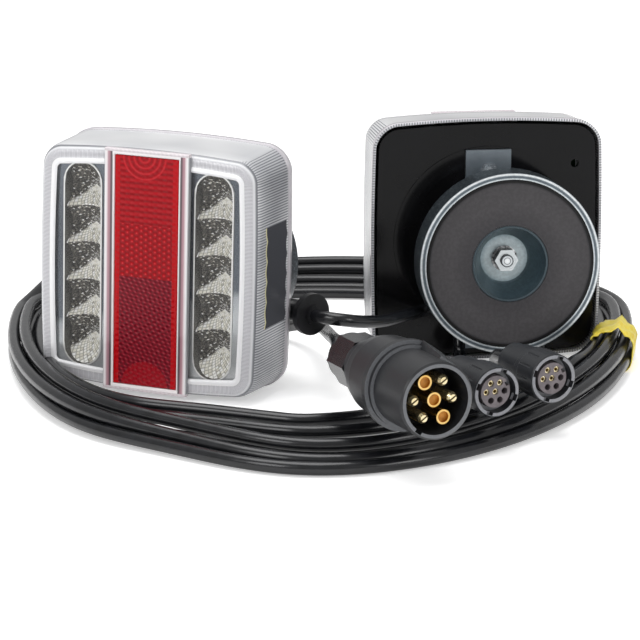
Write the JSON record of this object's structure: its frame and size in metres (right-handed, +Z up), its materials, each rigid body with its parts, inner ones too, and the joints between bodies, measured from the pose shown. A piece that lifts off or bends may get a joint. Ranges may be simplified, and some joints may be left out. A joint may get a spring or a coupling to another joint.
{
  "type": "magnetic trailer light kit",
  "caption": "Magnetic trailer light kit: clear-faced lamps with red reflectors, one seen from behind with its magnet, a tied coil of black cable, a round plug and bayonet couplings.",
  "frame": {"origin": "on the ground under the middle of the box round the lamps, midway between their outer ends", "axes": "+X from the front-facing lamp to the rear-facing lamp, along the row of lamps; +Y away from the viewer; +Z up from the ground they stand on"},
  "size_m": [0.3115, 0.399, 0.1184],
  "materials": {
    "clear_lens": "clear moulded acrylic, gloss outside",
    "red_reflector": "prismatic red reflector",
    "black_base": "gloss black moulded plastic",
    "chromed_tray": "metallised plastic",
    "circuit_board": "green solder resist",
    "light_body": "clear and white light bodies",
    "zinc_steel": "bright zinc plated steel",
    "ferrite": "ground dark ferrite",
    "black_rubber": "satin black moulded rubber",
    "tinted_window": "dark strip behind the side window",
    "amber_light": "pale yellow light bodies",
    "black_plastic": "satin black moulded plastic",
    "brass_contact": "bright brass",
    "dark_plastic": "satin dark slate plastic",
    "grey_insert": "matt pinkish grey rubber",
    "cable_sheath": "satin black flexible sheath",
    "yellow_tie": "thin yellow film strap"
  },
  "bodies": {
    "kit": {"left_lens": "clear_lens", "left_reflector": "red_reflector", "left_base": "black_base", "left_outer_tray": "chromed_tray", "left_inner_tray": "chromed_tray", "left_circuit_board": "circuit_board", "left_lights": "light_body", "left_plate_window": "tinted_window", "left_plate_lights": "amber_light", "left_bracket": "zinc_steel", "left_magnet_cup": "zinc_steel", "left_magnet_ring": "ferrite", "left_magnet_dish": "zinc_steel", "left_side_boot": "black_rubber", "left_rear_boot": "black_rubber", "right_lens": "clear_lens", "right_reflector": "red_reflector", "right_base": "black_base", "right_outer_tray": "chromed_tray", "right_inner_tray": "chromed_tray", "right_circuit_board": "circuit_board", "right_lights": "light_body", "right_bracket": "zinc_steel", "right_magnet_cup": "zinc_steel", "right_magnet_ring": "ferrite", "right_magnet_dish": "zinc_steel", "right_rear_boot": "black_rubber", "bracket_studs": "zinc_steel", "bracket_nuts": "zinc_steel", "magnet_bolts": "zinc_steel", "magnet_nuts": "zinc_steel", "magnet_washers": "zinc_steel", "board_screws": "zinc_steel", "plug_nose": "black_plastic", "plug_body": "black_plastic", "plug_carrier": "black_plastic", "plug_pins": "brass_contact", "plug_tubes": "brass_contact", "plug_gland_nut": "black_plastic", "plug_gland_seal": "black_rubber", "coupling_a_barrel": "dark_plastic", "coupling_a_insert": "grey_insert", "coupling_a_contacts": "brass_contact", "coupling_a_cap": "dark_plastic", "coupling_b_barrel": "dark_plastic", "coupling_b_insert": "grey_insert", "coupling_b_contacts": "brass_contact", "coupling_b_cap": "dark_plastic", "plug_lead": "cable_sheath", "main_lamp_lead": "cable_sheath", "link_a_lamp_lead": "cable_sheath", "link_a_plug_lead": "cable_sheath", "link_b_lamp_lead": "cable_sheath", "link_b_plug_lead": "cable_sheath", "cable_coil": "cable_sheath", "coil_tie": "yellow_tie"},
    "ring_a": {"coupling_a_ring": "dark_plastic"},
    "ring_b": {"coupling_b_ring": "dark_plastic"}
  },
  "joints": [
    {"name": "coupling_a_turn", "type": "hinge", "parent": "kit", "child": "ring_a", "pos_m": [0.06954, -0.13916, 0.027], "axis": [0.4226, -0.9063, 0], "range_deg": [0, 40]},
    {"name": "coupling_b_turn", "type": "hinge", "parent": "kit", "child": "ring_b", "pos_m": [0.09554, -0.11616, 0.027], "axis": [0.4226, -0.9063, 0], "range_deg": [0, 40]}
  ]
}
